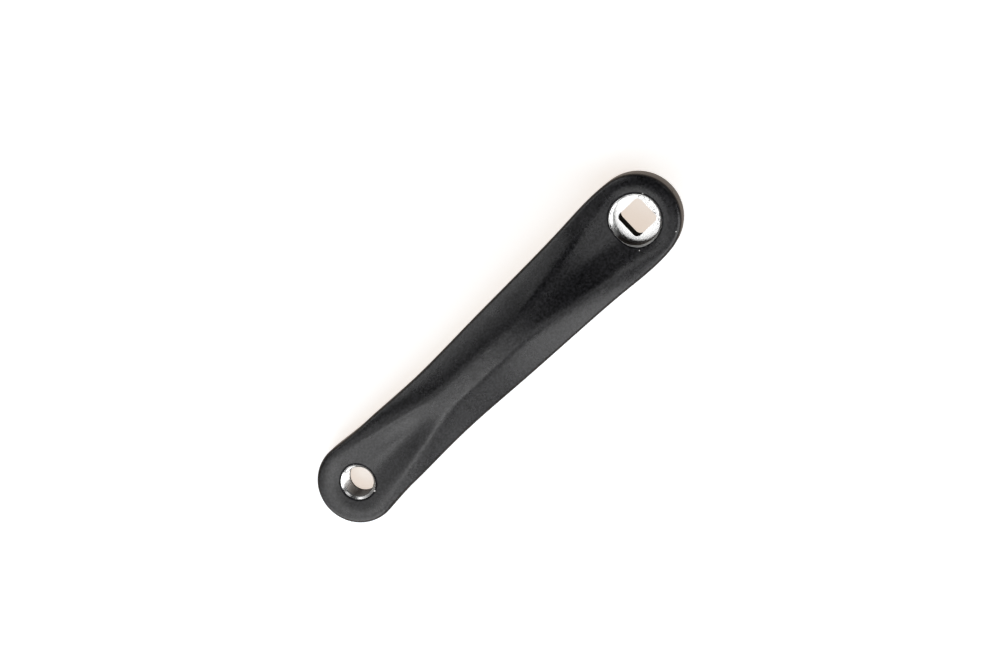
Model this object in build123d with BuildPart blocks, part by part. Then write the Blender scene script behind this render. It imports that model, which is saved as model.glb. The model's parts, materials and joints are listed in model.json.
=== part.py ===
"""Left-hand bicycle crank arm for a square-taper spindle: one forging with machined holes.

Millimetres. The origin is on the spindle axis at the boss's inner face. +Z points outboard along
the spindle axis, and +X runs along the arm to the pedal axis. Places along the arm are shares of
its length, from 0 at the spindle axis to 1 at the pedal axis. Both sides of the arm are alike.
"""

import os
from math import hypot, radians, sqrt, tan

from build123d import *

# The whole arm
crank_length = 165.0  # spindle axis to pedal axis
boss_thickness = 27.0  # inner face to the recess's rim
eye_thickness = 13.5  # at the pedal hole's rim

# Outline, looking along the spindle
boss_radius = 19.4
eye_radius = 18.2
eye_overhang = 0.6  # how far beyond the pedal axis the eye's round end is centred
boss_tangent = 100.0  # degrees from +X where the boss's arc meets the flank
eye_tangent = 96.0
shoulder_half_width = 19.9
upper_shank_half_width = 19.05
middle_half_width = 17.9
lower_shank_half_width = 16.75
waist_half_width = 15.9
neck_half_width = 16.75
flank_half_widths = [
    (0.036, shoulder_half_width),
    (0.145, upper_shank_half_width),
    (0.29, middle_half_width),
    (0.51, lower_shank_half_width),
    (0.733, waist_half_width),
    (0.873, neck_half_width),
]

# Outer face: a narrow ridge that fans out into a shallow hollow at each end, with a bevel beside it
outer_rise = 10.5  # how far the ridge climbs outboard on its way from the boss
outer_rise_span = (0.1, 1.3)
outer_rise_bias = 4.2  # above 1, the climb is steeper near the boss
ridge_half_width = 4.5
ridge_start = 0.445
ridge_end = 0.62
boss_fan_half_width = 16.6  # at the spindle axis
eye_fan_half_width = 17.0  # at the pedal axis
ridge_softness = 1.0  # of the crease between the ridge and the bevel
fan_softness = 0.9  # gained by the crease for each millimetre that the fan is wider
bevel_slope = 0.46
bevel_curve = 0.006  # added to the slope, for each millimetre from the crease
boss_hollow = 3.2
boss_hollow_span = (0.0, 0.43)  # where the hollow starts to fade and where it has gone
eye_hollow = 3.0
eye_hollow_span = (0.85, 0.66)
point_spacing = (4.0, 1.5)  # of the points that carry the outer face, along and across the arm
surface_tolerance = 0.02

# Inner side
arm_back = 10.5  # height of the arm's back beside the boss
back_rise_end = 0.62
back_boss_radius = 15.5
back_boss_draft = 3.0
back_boss_chamfer = 0.8
back_boss_foot = 1.0

# Edges of the arm
outer_fillet = 2.4
back_chamfer = 1.4

# Spindle socket: a square taper under the bolt's seat and the thread for the extractor
seat_depth = 10.5
seat_square = 12.7
square_draft = 2.0
square_corner = 2.8
recess_radius = 10.5  # drilled for an M22 x 1 thread
recess_chamfer = 0.9
recess_chamfer_depth = 1.5

# Pedal hole
pedal_radius = 6.45  # drilled for a 9/16 in x 20 left-hand thread
pedal_chamfer = 1.3

overcut = 1.0  # how far a cutter runs past the face that it opens

seat_height = boss_thickness - seat_depth
recess_overcut = overcut * recess_chamfer / recess_chamfer_depth
inner_square = seat_square + 2.0 * seat_height * tan(radians(square_draft))
eye_centre = crank_length + eye_overhang
blank_margin = 1.25 * boss_radius
blank_end = eye_centre + blank_margin


def ease(t):
    """A smooth step from 0 to 1 that starts and ends level and straight."""
    t = min(max(t, 0.0), 1.0)
    return t**3 * (10.0 - 15.0 * t + 6.0 * t**2)


def progress(share, span):
    """How far a share of the length has come from the span's start to its end, from 0 to 1."""
    return min(max((share - span[0]) / (span[1] - span[0]), 0.0), 1.0)


def ramp(distance, softness):
    """0 before a crease and the distance beyond it, with the corner rounded."""
    return (distance + hypot(distance, softness)) / 2.0


def crest_half_width(share):
    """Half width of the ridge and of the fans at its ends."""
    if share < ridge_start:
        spread = (ridge_start - share) / ridge_start
        return hypot(ridge_half_width, spread * sqrt(boss_fan_half_width**2 - ridge_half_width**2))
    spread = max(share - ridge_end, 0.0) / (1.0 - ridge_end)
    return hypot(ridge_half_width, spread * sqrt(eye_fan_half_width**2 - ridge_half_width**2))


def relief(x, y):
    """Form of the outer face, which is turned about the two axes beyond them."""
    along = min(max(x, 0.0), crank_length)
    share = along / crank_length
    reach = hypot(x - along, y)
    rise = outer_rise * ease(1.0 - (1.0 - progress(share, outer_rise_span)) ** outer_rise_bias)
    crest = crest_half_width(share)
    softness = ridge_softness + fan_softness * (crest - ridge_half_width)
    beyond = ramp(reach - crest, softness) + ramp(-reach - crest, softness)
    bevel = beyond * (bevel_slope + bevel_curve * beyond)
    boss_depth = boss_hollow * (1.0 - ease(progress(share, boss_hollow_span)))
    eye_depth = eye_hollow * (1.0 - ease(progress(share, eye_hollow_span)))
    hollow = (boss_depth + eye_depth) * max(1.0 - (reach / crest) ** 2, 0.0) ** 2
    return rise - bevel - hollow


def outer_height(x, y):
    """Height of the outer face, measured so that the recess's rim is at the boss's thickness."""
    return boss_thickness + relief(x, y) - relief(0.0, recess_radius + recess_chamfer)


def spaced(start, end, step):
    """Even values from start to end, about a step apart."""
    count = round((end - start) / step)
    return [start + (end - start) * i / count for i in range(count + 1)]


pedal_rim = outer_height(crank_length, pedal_radius + pedal_chamfer)
eye_inner = pedal_rim - eye_thickness
blank_height = boss_thickness + outer_rise + blank_margin

# The outer face is one smooth surface over the arm and a margin round it
outer_face = Face.make_surface_from_array_of_points(
    [
        [(x, y, outer_height(x, y)) for y in spaced(-blank_margin, blank_margin, point_spacing[1])]
        for x in spaced(-blank_margin, blank_end, point_spacing[0])
    ],
    tol=surface_tolerance,
    min_deg=3,
    max_deg=3,
)

with BuildPart() as crank_arm:
    # Blank: the outline, closed by the outer face
    with BuildSketch(Plane.XY):
        with BuildLine():
            boss_arc = CenterArc((0, 0), boss_radius, 180.0, boss_tangent - 180.0)
            eye_arc = CenterArc((eye_centre, 0), eye_radius, eye_tangent, -eye_tangent)
            flank = [(share * crank_length, half_width) for share, half_width in flank_half_widths]
            Spline(boss_arc @ 1, *flank, eye_arc @ 0, tangents=(boss_arc % 1, eye_arc % 0))
            mirror(about=Plane.XZ)
        make_face()
    extrude(amount=blank_height)
    extrude(outer_face, amount=-blank_height, dir=(0, 0, 1), mode=Mode.INTERSECT)
    fillet(crank_arm.faces().sort_by(Axis.Z)[-1].edges(), outer_fillet)

    # Back of the arm, rising from the boss to the pedal eye
    with BuildSketch(Plane.XZ.offset(-blank_margin)):
        with BuildLine():
            beside_boss = Line((-blank_margin, arm_back), (0, arm_back))
            beside_eye = Line((back_rise_end * crank_length, eye_inner), (blank_end, eye_inner))
            Spline(beside_boss @ 1, beside_eye @ 0, tangents=((1, 0), (1, 0)))
            Polyline(beside_eye @ 1, (blank_end, 0), (-blank_margin, 0), beside_boss @ 0)
        make_face()
    extrude(amount=2.0 * blank_margin, mode=Mode.SUBTRACT)
    back_faces = crank_arm.faces().filter_by(lambda face: face.normal_at().Z < -0.5)
    chamfer(back_faces.edges().filter_by(Axis.Y, reverse=True), back_chamfer)

    # Boss on the inner side
    with BuildSketch(Plane.XY):
        Circle(back_boss_radius)
    extrude(amount=seat_height, taper=-back_boss_draft)
    boss_foot = crank_arm.edges(Select.NEW).filter_by(lambda edge: edge.center().Z > arm_back / 2.0)
    chamfer(boss_foot, back_boss_foot)
    chamfer(crank_arm.faces().sort_by(Axis.Z)[0].edges(), back_boss_chamfer)

    # Recess for the bolt's head, drilled and chamfered for the extractor's thread
    with BuildSketch(Plane.XZ):
        with BuildLine():
            Polyline(
                (0, seat_height),
                (recess_radius, seat_height),
                (recess_radius, boss_thickness - recess_chamfer_depth),
                (recess_radius + recess_chamfer + recess_overcut, boss_thickness + overcut),
                (0, boss_thickness + overcut),
                close=True,
            )
        make_face()
    revolve(axis=Axis.Z, mode=Mode.SUBTRACT)

    # Square taper, widest at the inner face
    with BuildSketch(Plane.XY):
        RectangleRounded(inner_square, inner_square, square_corner)
    extrude(amount=seat_height, taper=square_draft, mode=Mode.SUBTRACT)

    # Pedal hole, drilled for the pedal's thread and chamfered on both faces
    with BuildSketch(Plane.XZ):
        with BuildLine():
            Polyline(
                (crank_length, eye_inner - overcut),
                (crank_length + pedal_radius + pedal_chamfer + overcut, eye_inner - overcut),
                (crank_length + pedal_radius, eye_inner + pedal_chamfer),
                (crank_length + pedal_radius, pedal_rim - pedal_chamfer),
                (crank_length + pedal_radius + pedal_chamfer + overcut, pedal_rim + overcut),
                (crank_length, pedal_rim + overcut),
                close=True,
            )
        make_face()
    revolve(axis=Axis((crank_length, 0, 0), (0, 0, 1)), mode=Mode.SUBTRACT)

os.makedirs("parts", exist_ok=True)
crank_arm.part.label = "crank_arm"
export_step(crank_arm.part, "parts/crank_arm.step")
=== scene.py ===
"""Looks of the left-hand crank arm: tapped holes, satin black paint, bare metal, floor and light.

Metres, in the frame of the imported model: the spindle axis is Z, the boss's inner face is at zero,
and the arm runs along +X to the pedal axis.
"""

import json
import math

import bmesh
import bpy
from mathutils import Matrix, Vector


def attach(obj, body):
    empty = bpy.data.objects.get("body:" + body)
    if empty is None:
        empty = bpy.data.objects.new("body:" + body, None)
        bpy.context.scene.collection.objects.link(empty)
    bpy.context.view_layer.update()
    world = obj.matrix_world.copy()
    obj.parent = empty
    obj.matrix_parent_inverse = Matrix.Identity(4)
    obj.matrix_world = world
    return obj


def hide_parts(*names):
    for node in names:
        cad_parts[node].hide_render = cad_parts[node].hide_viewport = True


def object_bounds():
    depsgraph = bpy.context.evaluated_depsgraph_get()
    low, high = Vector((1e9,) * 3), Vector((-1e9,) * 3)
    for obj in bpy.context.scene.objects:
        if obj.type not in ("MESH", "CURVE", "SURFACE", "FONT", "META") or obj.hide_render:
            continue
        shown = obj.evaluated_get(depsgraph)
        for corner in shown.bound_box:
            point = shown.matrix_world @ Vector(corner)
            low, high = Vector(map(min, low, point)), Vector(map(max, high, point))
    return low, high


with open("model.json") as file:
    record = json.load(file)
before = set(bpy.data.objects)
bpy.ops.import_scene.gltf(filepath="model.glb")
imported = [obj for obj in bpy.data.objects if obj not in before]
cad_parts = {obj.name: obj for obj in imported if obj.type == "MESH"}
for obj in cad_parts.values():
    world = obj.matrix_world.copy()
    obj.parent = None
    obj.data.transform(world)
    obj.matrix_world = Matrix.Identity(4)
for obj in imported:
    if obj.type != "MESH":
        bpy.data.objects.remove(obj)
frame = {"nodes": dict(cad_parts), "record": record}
cad_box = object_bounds()

MM = 0.001
mounts = {mount["name"]: mount for mount in frame["record"]["mounts"]}
seat_height = mounts["bolt_seat"]["pos_m"][2]
pedal_mount = mounts["pedal_thread"]
pedal_x = pedal_mount["pos_m"][0]
weld_distance = 1e-7

# Threads: pitch and outer radius of each, and the groove's section
extractor_pitch = 1.0 * MM
extractor_major = 11.0 * MM
pedal_pitch = 25.4 / 20 * MM
pedal_major = 25.4 * 9 / 16 / 2 * MM
thread_flat = 0.125  # width of the groove's floor, as a share of the pitch
thread_half_angle = math.radians(30)
tap_clearance = 0.12 * MM  # how far the cutter's foot stays inside the drilled wall
tap_steps = 72  # per turn
tap_phase = 0.4 / tap_steps  # of a turn, so that no section of the cutter lies on the wall's seam
tap_overrun = 2.0 * MM
seat_relief = 0.9 * MM  # plain wall left between the extractor's thread and the seat
runout_turns = 0.6
runout_least = 0.05  # depth of the groove's very end, as a share of the full depth

# Machined faces lie inside these distances from the two axes and lean more than the painted face
recess_bare_radius = 12.5 * MM
pedal_bare_radius = 9.0 * MM
painted_lean = 0.9  # least Z part of the normal of a painted face beside the holes
wall_lean = 0.5  # greatest Z part of the normal of the square hole's walls
socket_reach = 11.5 * MM  # beyond the square hole's corners and inside the boss's wall
seat_tolerance = 0.05 * MM
crease_angle = math.radians(32)

# Small marks in millimetres: white specks on the paint, a burr at the pedal hole and a dark line
# on the seat along the square's edge
speck_places = ((-10.07, -5.93), (7.35, 10.43), (-9.17, 15.14))
speck_radius = 0.26
burr_place = (162.3, 7.65)
burr_radius = 0.45
mark_core = 0.6  # share of the radius from which a mark fades out
edge_line_place = (-6.6, 3.3)
edge_line_half_size = (0.1, 1.1)
marked_above = 24.0 * MM  # above the arm's back, below its outer face

# Wear of the metal: pitting of the seat, along X. Painted shade in a sector of each thread,
# along Y, and at the foot of the pedal's thread, along Z
seat_pitting = (-2.5 * MM, -7.0 * MM)
recess_shade_sector = (-3.0 * MM, 0.5 * MM)
recess_chamfer_foot = 25.5 * MM
recess_chamfer_shade = 0.5  # as a share of the thread's
# Painted shade on the pedal hole's wall: a sector of it and a band at its foot
pedal_shade_sector = (-1.5 * MM, 3.0 * MM)
pedal_chamfer_foot = 35.5 * MM
pedal_shade = 0.9
pedal_shade_foot = (25.4 * MM, 26.2 * MM)
shade_fade = 0.1 * MM

# The paint's edge round the two holes, in millimetres: centre along X, a radius and height on the
# chamfer, the chamfer's run for each unit of height, and the edge's width
paint_edges = ((0.0, 11.4, 27.0, 0.6, 0.5), (165.0, 7.75, 36.83, 1.0, 0.7))
paint_edge_fade = (0.7, 1.2)  # where the edge fades out, as shares of its width

# Colours
paint_dark = (0.001, 0.001, 0.0014)
paint_light = (0.0185, 0.0182, 0.0207)
mark_colour = (0.75, 0.74, 0.72)
metal_colour = (0.95, 0.95, 0.945)
pit_colour = (0.4, 0.4, 0.41)
# Dark line on the seat beside the square's edge
edge_line_colour = (0.07, 0.018, 0.016)
# Painted shade on parts of the threads' walls
painted_shade_colour = (0.05, 0.043, 0.038)
socket_dark = (0.004, 0.003, 0.003)
socket_light = (0.012, 0.009, 0.008)

# Textures: scale for each metre, detail and roughness of the noise, and the part of it that is used
fleck_noise, fleck_range = (1000.0, 1.0, 0.5), (0.35, 0.7)
patch_noise, patch_range = (90.0, 3.0, 0.6), (0.3, 0.7)
grain_noise = (1300.0, 2.0, 0.7)
wave_noise = (350.0, 1.0, 0.5)
pit_noise, pit_range = (1100.0, 2.0, 0.6), (0.56, 0.66)
socket_noise = (260.0, 3.0, 0.6)
paint_bump = 4.5e-5
metal_bump = 2e-6

# Sheen
paint_roughness = (0.255, 0.305)
metal_roughness = (0.25, 0.45)  # clean, and pitted or in the painted shade
socket_roughness = 0.9
paint_sheen = 0.5
dull_sheen = 0.05  # of the paint's edge beside the holes and of the square hole's walls

# Floor: its colour under the lights, the pale glow that is seen with it, and the glow's share in
# reflections
floor_colour = (0.5, 0.68, 0.82)
floor_glow = (0.76, 0.65, 0.56)
floor_reflected = 0.6
floor_half = 3.0
rest_tolerance = 0.01 * MM

# Camera, looking down on the outer face with the boss at the upper right
camera_place = Vector((-118.69, -15.16, 795.0)) * MM
camera_target = Vector((77.42, -4.32, 20.0)) * MM
camera_up = Vector((-0.6662, -0.724, -0.1787))
camera_lens = 66.75
camera_sensor = 36.0
camera_near = 0.01

# Soft lights on a dome: name, X and Y parts of the direction, width, depth and radiance
light_middle = Vector((80.0, 0.0, 20.0)) * MM
light_distance = 0.9
soft_lights = (
    ("key", 0.453, 0.129, 0.57, 0.39, 1.9),
    ("end", 0.647, -0.268, 1.1, 0.565, 0.97),
    ("top", -0.01, 0.333, 0.68, 0.34, 1.0),
    ("over", 0.056, 0.0, 0.12, 0.12, 2.8),
    ("right", -0.328, 0.838, 1.05, 0.7, 2.55),
    ("left", 0.0, -0.912, 0.865, 0.273, 1.9),
    ("back", -0.22, -0.68, 0.34, 0.35, 0.93),
    ("front", 0.805, 0.48, 1.085, 0.866, 2.5),
    ("fill", 0.6, 0.64, 0.49, 0.35, 0.85),
    ("beside", 0.35, 0.16, 0.16, 0.14, 3.2),
    ("low", -0.92, -0.12, 0.2, 0.45, 1.0),
)
world_strength = 0.03


def tap(name, mount, pitch, major, hand, bottom, top, runout):
    """A helical cutter for one threaded hole: a groove's section carried round the hole's axis."""
    axis_x = mount["pos_m"][0]
    foot = mount["dims"]["r_mm"] * MM - tap_clearance
    turns = (top - bottom) / pitch
    steps = round(turns * tap_steps)
    bm = bmesh.new()
    rings = []
    for step in range(steps + 1):
        turn = step / tap_steps
        angle = hand * 2 * math.pi * (turn + tap_phase)
        height = bottom + pitch * turn
        tip = major
        if runout and turn < runout_turns:
            tip = foot + (major - foot) * max(turn / runout_turns, runout_least)
        tip_half = pitch * thread_flat / 2
        foot_half = tip_half + (tip - foot) * math.tan(thread_half_angle)
        section = ((foot, -foot_half), (tip, -tip_half), (tip, tip_half), (foot, foot_half))
        rings.append([
            bm.verts.new((axis_x + r * math.cos(angle), r * math.sin(angle), height + dz))
            for r, dz in section
        ])
    for here, there in zip(rings, rings[1:]):
        for i in range(4):
            j = (i + 1) % 4
            bm.faces.new((here[i], here[j], there[j], there[i]))
    bm.faces.new(reversed(rings[0]))
    bm.faces.new(rings[-1])
    bmesh.ops.triangulate(bm, faces=bm.faces)
    bmesh.ops.recalc_face_normals(bm, faces=bm.faces)
    mesh = bpy.data.meshes.new(name)
    bm.to_mesh(mesh)
    bm.free()
    cutter = bpy.data.objects.new(name, mesh)
    bpy.context.scene.collection.objects.link(cutter)
    return cutter


def cut(piece, cutter):
    """Takes the cutter out of the piece and removes it."""
    modifier = piece.modifiers.new("tap", "BOOLEAN")
    modifier.operation = "DIFFERENCE"
    modifier.solver = "EXACT"
    modifier.object = cutter
    depsgraph = bpy.context.evaluated_depsgraph_get()
    mesh = bpy.data.meshes.new_from_object(piece.evaluated_get(depsgraph))
    piece.modifiers.clear()
    old = piece.data
    piece.data = mesh
    bpy.data.meshes.remove(old)
    bpy.data.objects.remove(cutter)


def welded_copy(node, name):
    """A new object with the node's form as one closed mesh."""
    bm = bmesh.new()
    bm.from_mesh(node.data)
    bmesh.ops.remove_doubles(bm, verts=bm.verts, dist=weld_distance)
    mesh = bpy.data.meshes.new(name)
    bm.to_mesh(mesh)
    bm.free()
    mesh.attributes.remove(mesh.attributes["custom_normal"])
    piece = bpy.data.objects.new(name, mesh)
    bpy.context.scene.collection.objects.link(piece)
    return piece


def finish_of(face):
    """Which material a face has: 0 paint, 1 machined metal, 2 the dark socket."""
    p = face.center
    level = abs(face.normal.z) > painted_lean
    if math.hypot(p.x - pedal_x, p.y) < pedal_bare_radius:
        return 0 if level else 1
    if math.hypot(p.x, p.y) > recess_bare_radius:
        return 0
    if p.z < seat_height - seat_tolerance:
        return 2 if abs(face.normal.z) < wall_lean and math.hypot(p.x, p.y) < socket_reach else 0
    on_seat = p.z < seat_height + seat_tolerance
    return 1 if on_seat or not level else 0


def nodes_of(material):
    material.use_nodes = True
    return material.node_tree.nodes, material.node_tree.links


def object_place(nodes):
    return nodes.new("ShaderNodeTexCoord").outputs["Object"]


def parts_of(nodes, links, place):
    """X, Y and Z of a place."""
    node = nodes.new("ShaderNodeSeparateXYZ")
    links.new(place, node.inputs[0])
    return tuple(node.outputs)


def noise(nodes, links, place, scale, detail, roughness):
    texture = nodes.new("ShaderNodeTexNoise")
    texture.inputs["Scale"].default_value = scale
    texture.inputs["Detail"].default_value = detail
    texture.inputs["Roughness"].default_value = roughness
    links.new(place, texture.inputs["Vector"])
    return texture.outputs["Fac"]


def spread(nodes, links, value, from_min, from_max, to_min, to_max):
    """The value, carried from one range to another and held at the range's ends."""
    node = nodes.new("ShaderNodeMapRange")
    node.inputs["From Min"].default_value = from_min
    node.inputs["From Max"].default_value = from_max
    node.inputs["To Min"].default_value = to_min
    node.inputs["To Max"].default_value = to_max
    links.new(value, node.inputs["Value"])
    return node.outputs["Result"]


def combine(nodes, links, operation, first, second=0.0):
    """The result of a math operation on two values or sockets, or on the first alone."""
    node = nodes.new("ShaderNodeMath")
    node.operation = operation
    for socket, value in zip(node.inputs, (first, second)):
        if isinstance(value, float):
            socket.default_value = value
        else:
            links.new(value, socket)
    return node.outputs[0]


def mixed(nodes, links, share, first, second):
    """A colour that goes from the first, a colour or a socket, to the second with the share."""
    node = nodes.new("ShaderNodeMix")
    node.data_type = "RGBA"
    if isinstance(first, tuple):
        node.inputs["A"].default_value = (*first, 1)
    else:
        links.new(first, node.inputs["A"])
    node.inputs["B"].default_value = (*second, 1)
    links.new(share, node.inputs["Factor"])
    return node.outputs["Result"]


def bumped(nodes, links, height, distance, shader):
    """Raises the shader's surface by a height."""
    bump = nodes.new("ShaderNodeBump")
    bump.inputs["Strength"].default_value = 1.0
    bump.inputs["Distance"].default_value = distance
    links.new(height, bump.inputs["Height"])
    links.new(bump.outputs["Normal"], shader.inputs["Normal"])


def square_reach(nodes, links, x, y, centre_x, centre_y):
    """The square of the distance from a line along Z, whose place is in millimetres."""
    away_x = combine(nodes, links, "SUBTRACT", x, centre_x * MM)
    away_y = combine(nodes, links, "SUBTRACT", y, centre_y * MM)
    square_x = combine(nodes, links, "MULTIPLY", away_x, away_x)
    square_y = combine(nodes, links, "MULTIPLY", away_y, away_y)
    return combine(nodes, links, "ADD", square_x, square_y)


def spot(nodes, links, place, centre_x, centre_y, radius):
    """1 within the radius of a place on the outer face, fading out at its edge."""
    x, y = parts_of(nodes, links, place)[:2]
    square = square_reach(nodes, links, x, y, centre_x, centre_y)
    core = mark_core * radius
    return spread(nodes, links, square, (core * MM) ** 2, (radius * MM) ** 2, 1.0, 0.0)


def beside_chamfer(nodes, links, place, centre, radius, height, run, width):
    """1 on the paint's edge beside a hole's chamfer."""
    x, y, z = parts_of(nodes, links, place)
    reach = combine(nodes, links, "SQRT", square_reach(nodes, links, x, y, centre, 0.0))
    beyond = combine(nodes, links, "SUBTRACT", reach, combine(nodes, links, "MULTIPLY", z, run))
    fade = [(radius - run * height + share * width) * MM for share in paint_edge_fade]
    return spread(nodes, links, beyond, *fade, 1.0, 0.0)


def paint_material():
    """Satin black paint with a fine grain, a little dust and a few white specks."""
    material = bpy.data.materials.new("black_paint")
    nodes, links = nodes_of(material)
    shader = nodes["Principled BSDF"]
    place = object_place(nodes)
    height = parts_of(nodes, links, place)[2]
    marks = spot(nodes, links, place, *burr_place, burr_radius)
    for speck_place in speck_places:
        speck = spot(nodes, links, place, *speck_place, speck_radius)
        marks = combine(nodes, links, "MAXIMUM", marks, speck)
    on_outer_face = combine(nodes, links, "GREATER_THAN", height, marked_above)
    marks = combine(nodes, links, "MULTIPLY", marks, on_outer_face)
    flecks = spread(nodes, links, noise(nodes, links, place, *fleck_noise), *fleck_range, 0.0, 1.0)
    coat = mixed(nodes, links, flecks, paint_dark, paint_light)
    links.new(mixed(nodes, links, marks, coat, mark_colour), shader.inputs["Base Color"])
    edges = [beside_chamfer(nodes, links, place, *paint_edge) for paint_edge in paint_edges]
    edge = combine(nodes, links, "MAXIMUM", *edges)
    sheen = spread(nodes, links, edge, 0.0, 1.0, paint_sheen, dull_sheen)
    links.new(sheen, shader.inputs["Specular IOR Level"])
    patches = noise(nodes, links, place, *patch_noise)
    dullness = spread(nodes, links, patches, *patch_range, *paint_roughness)
    links.new(dullness, shader.inputs["Roughness"])
    grain = noise(nodes, links, place, *grain_noise)
    waves = noise(nodes, links, place, *wave_noise)
    bumped(nodes, links, combine(nodes, links, "ADD", grain, waves), paint_bump, shader)
    return material


def metal_material():
    """Machined aluminium, pitted on one side of the bolt's seat, with painted shade in parts of the
    threads.
    """
    material = bpy.data.materials.new("bare_metal")
    nodes, links = nodes_of(material)
    shader = nodes["Principled BSDF"]
    shader.inputs["Metallic"].default_value = 1.0
    place = object_place(nodes)
    x, y, z = parts_of(nodes, links, place)
    at_boss = combine(nodes, links, "LESS_THAN", x, pedal_x / 2)
    at_eye = combine(nodes, links, "GREATER_THAN", x, pedal_x / 2)

    # Pits, and a dark line on the seat along the square's edge
    worn = spread(nodes, links, x, *seat_pitting, 0.0, 1.0)
    pores = noise(nodes, links, place, *pit_noise)
    pits = spread(nodes, links, pores, *pit_range, 0.0, 1.0)
    pitted = combine(nodes, links, "MULTIPLY", worn, pits)
    edge_line = at_boss
    for part, middle, half in zip((x, y), edge_line_place, edge_line_half_size):
        away = combine(nodes, links, "SUBTRACT", part, middle * MM)
        away = combine(nodes, links, "ABSOLUTE", away)
        inside = combine(nodes, links, "LESS_THAN", away, half * MM)
        edge_line = combine(nodes, links, "MULTIPLY", edge_line, inside)

    # Painted shade in a sector of the recess, lighter on its chamfer
    above_seat = combine(nodes, links, "GREATER_THAN", z, seat_height + shade_fade)
    in_recess = combine(nodes, links, "MULTIPLY", at_boss, above_seat)
    chamfer = (recess_chamfer_foot, recess_chamfer_foot + shade_fade)
    towards_rim = spread(nodes, links, z, *chamfer, 1.0, recess_chamfer_shade)
    recess_sector = spread(nodes, links, y, *recess_shade_sector, 0.0, 1.0)
    recess_cover = combine(nodes, links, "MULTIPLY", recess_sector, towards_rim)
    recess_shade = combine(nodes, links, "MULTIPLY", in_recess, recess_cover)

    # Painted shade in the pedal hole: a sector below its chamfer, and the foot of its wall
    below_chamfer = combine(nodes, links, "LESS_THAN", z, pedal_chamfer_foot)
    pedal_sector = spread(nodes, links, y, *pedal_shade_sector, 0.0, pedal_shade)
    pedal_wall = combine(nodes, links, "MULTIPLY", pedal_sector, below_chamfer)
    pedal_foot = spread(nodes, links, z, *pedal_shade_foot, 1.0, 0.0)
    pedal_cover = combine(nodes, links, "MAXIMUM", pedal_wall, pedal_foot)
    in_pedal_hole = combine(nodes, links, "MULTIPLY", at_eye, pedal_cover)
    painted_shade = combine(nodes, links, "ADD", recess_shade, in_pedal_hole)

    colour = mixed(nodes, links, pitted, metal_colour, pit_colour)
    colour = mixed(nodes, links, edge_line, colour, edge_line_colour)
    # The metal darkens towards the painted shade's colour
    links.new(mixed(nodes, links, painted_shade, colour, painted_shade_colour), shader.inputs["Base Color"])
    rough = combine(nodes, links, "MAXIMUM", pitted, painted_shade)
    links.new(spread(nodes, links, rough, 0.0, 1.0, *metal_roughness), shader.inputs["Roughness"])
    bumped(nodes, links, pores, metal_bump, shader)
    return material


def socket_material():
    """The square hole's walls: dull black."""
    material = bpy.data.materials.new("socket_black")
    nodes, links = nodes_of(material)
    shader = nodes["Principled BSDF"]
    shader.inputs["Roughness"].default_value = socket_roughness
    shader.inputs["Specular IOR Level"].default_value = dull_sheen
    patches = noise(nodes, links, object_place(nodes), *socket_noise)
    links.new(mixed(nodes, links, patches, socket_dark, socket_light), shader.inputs["Base Color"])
    return material


def resting_plane(mesh):
    """Where the boss's rim touches the floor, and the floor's slope towards the pedal eye."""
    foot = max((v.co for v in mesh.vertices if v.co.z < rest_tolerance), key=lambda p: p.x)
    beyond = (v.co for v in mesh.vertices if v.co.x > pedal_x / 2)
    slope = min(math.atan2(p.z - foot.z, p.x - foot.x) for p in beyond)
    return Vector((foot.x, 0, foot.z)), slope


def floor_material():
    """A pale floor that keeps the shadow. Reflections see its glow alone."""
    material = bpy.data.materials.new("floor")
    nodes, links = nodes_of(material)
    nodes.clear()
    output = nodes.new("ShaderNodeOutputMaterial")
    diffuse = nodes.new("ShaderNodeBsdfDiffuse")
    glow = nodes.new("ShaderNodeEmission")
    glow.inputs["Color"].default_value = (*floor_glow, 1)
    path = nodes.new("ShaderNodeLightPath").outputs
    mirrored = combine(nodes, links, "MAXIMUM", path["Is Glossy Ray"], path["Is Transmission Ray"])
    links.new(mixed(nodes, links, mirrored, floor_colour, (0, 0, 0)), diffuse.inputs["Color"])
    reflected = combine(nodes, links, "MULTIPLY", mirrored, floor_reflected)
    seen = combine(nodes, links, "MAXIMUM", path["Is Camera Ray"], reflected)
    links.new(seen, glow.inputs["Strength"])
    both = nodes.new("ShaderNodeAddShader")
    links.new(diffuse.outputs[0], both.inputs[0])
    links.new(glow.outputs[0], both.inputs[1])
    links.new(both.outputs[0], output.inputs["Surface"])
    return material


def make_floor(foot, slope):
    corners = [
        (-floor_half, -floor_half, 0),
        (floor_half, -floor_half, 0),
        (floor_half, floor_half, 0),
        (-floor_half, floor_half, 0),
    ]
    mesh = bpy.data.meshes.new("floor")
    mesh.from_pydata(corners, [], [(0, 1, 2, 3)])
    mesh.materials.append(floor_material())
    floor = bpy.data.objects.new("floor", mesh)
    floor.matrix_world = Matrix.Translation(foot) @ Matrix.Rotation(-slope, 4, "Y")
    bpy.context.scene.collection.objects.link(floor)


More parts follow.
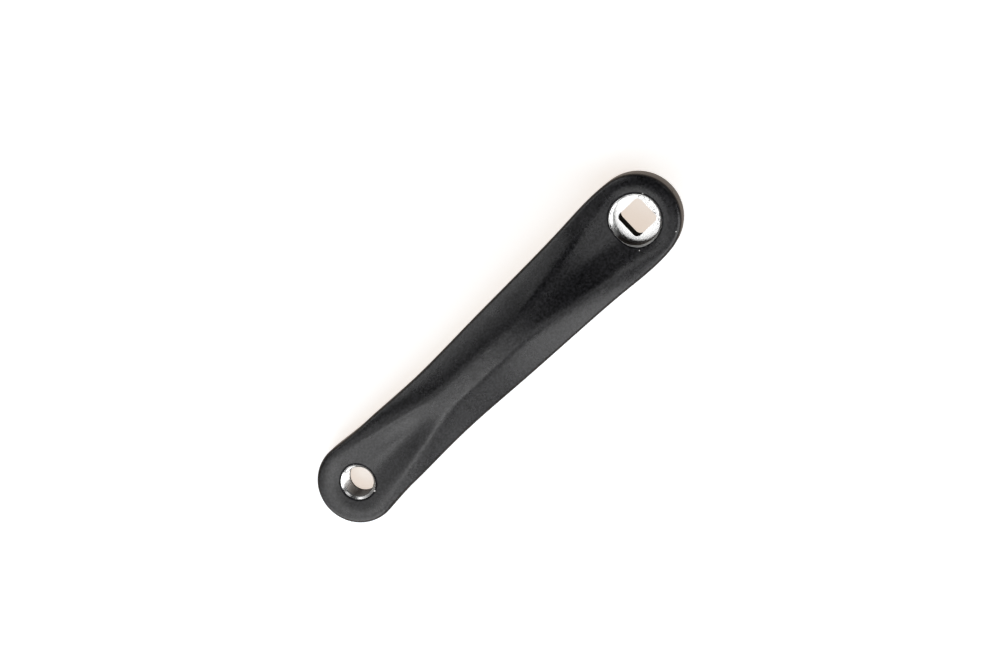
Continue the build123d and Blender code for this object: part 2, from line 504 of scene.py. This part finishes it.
def make_camera():
    data = bpy.data.cameras.new("camera")
    data.sensor_fit = "HORIZONTAL"
    data.sensor_width = camera_sensor
    data.lens = camera_lens
    data.clip_start = camera_near
    camera = bpy.data.objects.new("camera", data)
    back = (camera_place - camera_target).normalized()
    right = camera_up.cross(back).normalized()
    up = back.cross(right)
    turn = Matrix((right, up, back)).transposed().to_4x4()
    camera.matrix_world = Matrix.Translation(camera_place) @ turn
    bpy.context.scene.collection.objects.link(camera)
    bpy.context.scene.camera = camera


def soft_light(name, lean_x, lean_y, width, depth, radiance):
    """A rectangular light on a dome round the arm's middle, from its direction's X and Y parts."""
    towards = Vector((lean_x, lean_y, math.sqrt(1 - lean_x**2 - lean_y**2)))
    right = (Vector((1, 0, 0)) - lean_x * towards).normalized()
    turn = Matrix((right, towards.cross(right), towards)).transposed().to_4x4()
    data = bpy.data.lights.new(name, "AREA")
    data.shape = "RECTANGLE"
    data.size = width
    data.size_y = depth
    data.energy = radiance * math.pi * width * depth
    light = bpy.data.objects.new(name, data)
    light.matrix_world = Matrix.Translation(light_middle + light_distance * towards) @ turn
    bpy.context.scene.collection.objects.link(light)


def make_world():
    world = bpy.data.worlds.new("world")
    bpy.context.scene.world = world
    world.use_nodes = True
    background = world.node_tree.nodes["Background"]
    background.inputs["Color"].default_value = (1, 1, 1, 1)
    background.inputs["Strength"].default_value = world_strength


arm = welded_copy(frame["nodes"]["crank_arm"], "arm")
cad_top = cad_box[1].z
eye_inner = pedal_mount["pos_m"][2] - pedal_mount["dims"]["length_mm"] / 2 * MM
cut(arm, tap(
    "extractor_tap", mounts["extractor_thread"], extractor_pitch, extractor_major, 1,
    seat_height + seat_relief, cad_top, True,
))
cut(arm, tap(
    "pedal_tap", pedal_mount, pedal_pitch, pedal_major, -1,
    eye_inner - 2 * tap_overrun, cad_top + tap_overrun, False,
))
arm.data.materials.clear()
arm.data.materials.append(paint_material())
arm.data.materials.append(metal_material())
arm.data.materials.append(socket_material())
for face in arm.data.polygons:
    face.use_smooth = True
    face.material_index = finish_of(face)
arm.data.set_sharp_from_angle(angle=crease_angle)
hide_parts("crank_arm")
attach(arm, "root")

make_floor(*resting_plane(arm.data))
for soft_light_row in soft_lights:
    soft_light(*soft_light_row)
make_world()
make_camera()
bpy.context.scene.view_settings.view_transform = "Standard"
